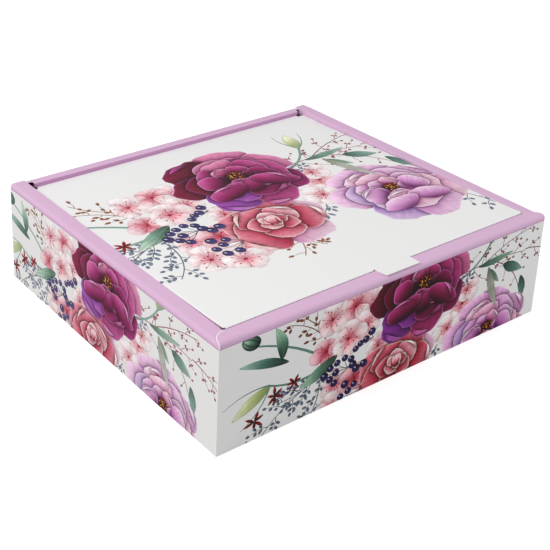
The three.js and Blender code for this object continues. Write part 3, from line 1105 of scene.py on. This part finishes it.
def print_material(name):
    """The printed face: watercolour shapes with streaks, shadows and rims, on coated board."""
    material = paper_material(name, PAPER, 0.5, 0.0)
    tree = material.node_tree
    ink_out, rim_out, shadow_out, brush_out = (
        node(tree, 'ShaderNodeAttribute', attribute_name=layer).outputs for layer in LAYERS)
    depth, shaded, fan = node(tree, 'ShaderNodeSeparateXYZ', {0: brush_out['Vector']}).outputs
    wash = noise(tree, node(tree, 'ShaderNodeTexCoord').outputs['Object'], 170, 3)
    scales = ((fan, 16.0), (brush_out['Alpha'], 90.0), (depth, 0.05))
    strand = [calc(tree, 'MULTIPLY', value, scale) for value, scale in scales]
    streak = noise(tree, node(tree, 'ShaderNodeCombineXYZ', dict(enumerate(strand))).outputs[0], 1.0, 3)
    waver = calc(tree, 'ADD', calc(tree, 'MULTIPLY_ADD', wash, 0.9, -0.45),
                 calc(tree, 'MULTIPLY_ADD', streak, 1.1, -0.55))
    colour = times(tree, ink_out['Color'], calc(tree, 'MULTIPLY_ADD', waver, ink_out['Alpha'], 1.0))
    # The shadow fades away from the patches above, and the rim fades in from the patch's own edge.
    for fade, distance, out in ((0.66, shaded, shadow_out), (0.22, depth, rim_out)):
        factor = calc(tree, 'MULTIPLY', calc(tree, 'POWER', fade, distance), out['Alpha'])
        colour = mix(tree, factor, colour, out['Color'])
    tree.links.new(colour, tree.nodes['Principled BSDF'].inputs['Base Color'])
    return material


# ---------------------------------------------------------------- the studio

WHITE = (1, 1, 1, 1)


def area_light(name, place, target, size, watts, colour=(1, 1, 1)):
    light = bpy.data.objects.new(name, bpy.data.lights.new(name, 'AREA'))
    light.data.shape = 'DISK'
    light.data.size = size
    light.data.energy = watts
    light.data.color = colour
    light.location = place
    light.rotation_euler = (Vector(target) - Vector(place)).to_track_quat('-Z', 'Y').to_euler()
    bpy.context.scene.collection.objects.link(light)


def studio():
    """A white room whose light is weaker than it looks, a key light, a fill light and the floor."""
    world = bpy.data.worlds.new('studio')
    bpy.context.scene.world = world
    world.use_nodes = True
    tree = world.node_tree
    seen = node(tree, 'ShaderNodeLightPath').outputs['Is Camera Ray']
    room_light = 0.55
    strength = calc(tree, 'MULTIPLY_ADD', seen, 1 - room_light, room_light)
    tree.links.new(strength, tree.nodes['Background'].inputs['Strength'])
    tree.nodes['Background'].inputs['Color'].default_value = WHITE
    area_light('key', (-1.15, 0.15, 1.3), (0, 0, 0), 1.1, 14.5, (1, 0.99, 0.97))
    area_light('fill', (0.75, -0.9, 0.35), (0.15, -0.1, 0.04), 0.5, 2.6)
    floor()
    bpy.context.scene.view_settings.view_transform = 'Standard'


def floor():
    """A plain pale floor, a hair below the box. It glows a little for the camera only."""
    reach, drop = 12, 0.0002
    corners = [(-reach, -reach, 0), (reach, -reach, 0), (reach, reach, 0), (-reach, reach, 0)]
    mesh = bpy.data.meshes.new('floor')
    mesh.from_pydata(corners, [], [(0, 1, 2, 3)])
    plane = bpy.data.objects.new('floor', mesh)
    plane.location.z = -drop
    bpy.context.scene.collection.objects.link(plane)
    material, tree, shader = new_material('floor')
    seen = node(tree, 'ShaderNodeLightPath').outputs['Is Camera Ray']
    pale = mix(tree, seen, (0.5, 0.5, 0.5, 1), (0.62, 0.62, 0.62, 1))
    tree.links.new(pale, shader.inputs['Base Color'])
    tree.links.new(calc(tree, 'MULTIPLY', seen, 0.66), shader.inputs['Emission Strength'])
    shader.inputs['Emission Color'].default_value = WHITE
    shader.inputs['Roughness'].default_value = 0.8
    mesh.materials.append(material)
    return plane


CAMERA_PLACE = (-0.50849, -0.58628, 0.46456)
CAMERA_TURN = (68.4732, -0.5253, -34.862)  # degrees
CAMERA_SHIFT = {'shift_x': 0.19728, 'shift_y': -0.31728}
SENSOR, LENS = 36, 74.8826  # millimetres


def camera():
    """The camera, with its picture shifted off its axis at its own place only."""
    view = bpy.data.objects.new('camera', bpy.data.cameras.new('camera'))
    bpy.context.scene.collection.objects.link(view)
    bpy.context.scene.camera = view
    view.location = CAMERA_PLACE
    view.rotation_euler = [math.radians(angle) for angle in CAMERA_TURN]
    view.data.sensor_width = SENSOR
    view.data.lens = LENS
    for name, shift in CAMERA_SHIFT.items():
        driver = view.data.driver_add(name).driver
        driver.type = 'SCRIPTED'
        variable = driver.variables.new()
        variable.name, variable.type = 'x', 'TRANSFORMS'
        target = variable.targets[0]
        target.id, target.transform_type, target.transform_space = view, 'LOC_X', 'WORLD_SPACE'
        driver.expression = f'{shift} if abs(x - ({CAMERA_PLACE[0]})) < 0.001 else 0.0'


# ---------------------------------------------------------------- the box

def finish_piece(piece, materials, body, *replaced):
    for material in materials:
        piece.data.materials.append(material)
    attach(piece, body)
    for name in replaced:
        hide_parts(name)


def dress(material, *names):
    """Gives the CAD's own panels their material."""
    for name in names:
        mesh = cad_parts[name].data
        mesh.materials.clear()
        mesh.materials.append(material)


def build():
    uncoated, print_and_shade_height = srgb(236, 233, 226), 0.0755
    printed = print_material('printed_face')
    cut = paper_material('cut_edge', srgb(252, 250, 246), 0.85, 0.03)
    plain = paper_material('uncoated_face', uncoated, 0.8, 0.03)
    lilac = paper_material('lilac_face', LILAC_PRINT, 0.46, 0.015, 0.12)
    # The riser's lilac is darker than the printed lilac: painted shade for the narrow step down from the back
    # rim to the lid.
    riser = paper_material('lilac_riser_painted_shade', srgb(196, 144, 188), 0.5, 0.02)
    # Above this height the backs of the rims are a dark wine: lilac print, darkened as painted shade so the
    # slots under the rims look dark.
    wall_back = paper_material('uncoated_wall_print_and_shade', uncoated, 0.8, 0.03, above=(print_and_shade_height, srgb(150, 70, 116)))
    faces, walls = (printed, cut, plain), (printed, cut, wall_back)
    patches = bouquet()
    finish_piece(front_board(patches), walls, 'box', 'front_wall', 'front_rim', 'front_inner_wall')
    for name, side in (('left', -1), ('right', 1)):
        finish_piece(side_board(f'{name}_board', side, patches), walls, 'box',
                     f'{name}_wall', f'{name}_rim', f'{name}_inner_wall')
    finish_piece(back_board(patches), walls, 'box', 'back_wall', 'back_rim')
    finish_piece(lid_board(patches), faces, 'lid', 'lid_panel')
    finish_piece(thumb_tab(), faces, 'thumb_tab', 'thumb_tab')
    dress(lilac, 'front_foot', 'left_foot', 'right_foot', 'lid_front_flap', 'lid_left_flap', 'lid_right_flap')
    dress(riser, 'hinge_riser')
    dress(plain, 'base', 'front_left_glue_tab', 'front_right_glue_tab',
          'back_left_glue_tab', 'back_right_glue_tab')


build()
studio()
camera()
